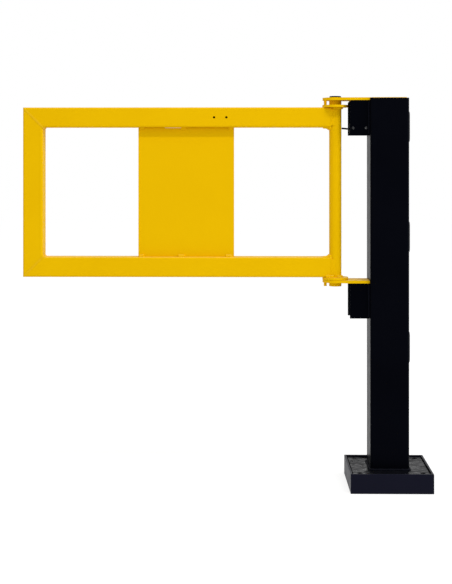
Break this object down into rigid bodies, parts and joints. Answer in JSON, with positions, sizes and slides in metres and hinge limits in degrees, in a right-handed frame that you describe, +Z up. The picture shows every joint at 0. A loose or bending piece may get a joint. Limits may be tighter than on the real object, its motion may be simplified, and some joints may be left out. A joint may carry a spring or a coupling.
{
  "type": "safety gate with floor post",
  "caption": "Swinging tube-frame safety gate with a sheet middle panel, hinged on a square floor post that stands on a bolted box base.",
  "frame": {"origin": "on the floor, under the middle of the post", "axes": "+Z up, +X from the leaf to the post, +Y away from the viewer of the picture"},
  "size_m": [1.055, 0.21, 1.0083],
  "materials": {
    "yellow_paint": "signal yellow powder coat, semi-gloss",
    "black_paint": "black powder coat, semi-gloss",
    "black_plastic": "black moulded plastic"
  },
  "bodies": {
    "post": {"base_front_bar": "black_paint", "base_right_bar": "black_paint", "base_back_bar": "black_paint", "base_left_bar": "black_paint", "base_plate": "black_paint", "base_cross_rib": "black_paint", "post_foot_weld": "black_paint", "post_tube": "black_paint", "upper_hinge_plate": "yellow_paint", "lower_hinge_plate": "yellow_paint", "upper_bracket": "black_paint", "lower_bracket": "black_paint", "rod_block": "black_plastic", "feeler_rod": "black_paint", "upper_side_cover": "black_plastic", "middle_side_cover": "black_plastic", "lower_side_cover": "black_plastic"},
    "leaf": {"hinge_tube": "yellow_paint", "hinge_top_plug": "black_plastic", "top_rail": "yellow_paint", "bottom_rail": "yellow_paint", "end_stile": "yellow_paint", "middle_panel": "yellow_paint", "panel_top_stitches": "yellow_paint", "panel_bottom_stitches": "yellow_paint", "top_rail_welds": "yellow_paint", "bottom_rail_welds": "yellow_paint", "upper_disc": "yellow_paint", "lower_disc": "yellow_paint", "upper_disc_weld": "yellow_paint", "lower_disc_weld": "yellow_paint", "upper_stop_pin": "yellow_paint", "lower_stop_pin": "yellow_paint"}
  },
  "joints": [
    {"name": "leaf_swing", "type": "hinge", "parent": "post", "child": "leaf", "pos_m": [-0.1365, 0, 0.531], "axis": [0, 0, 1], "range_deg": [0, 90]}
  ]
}
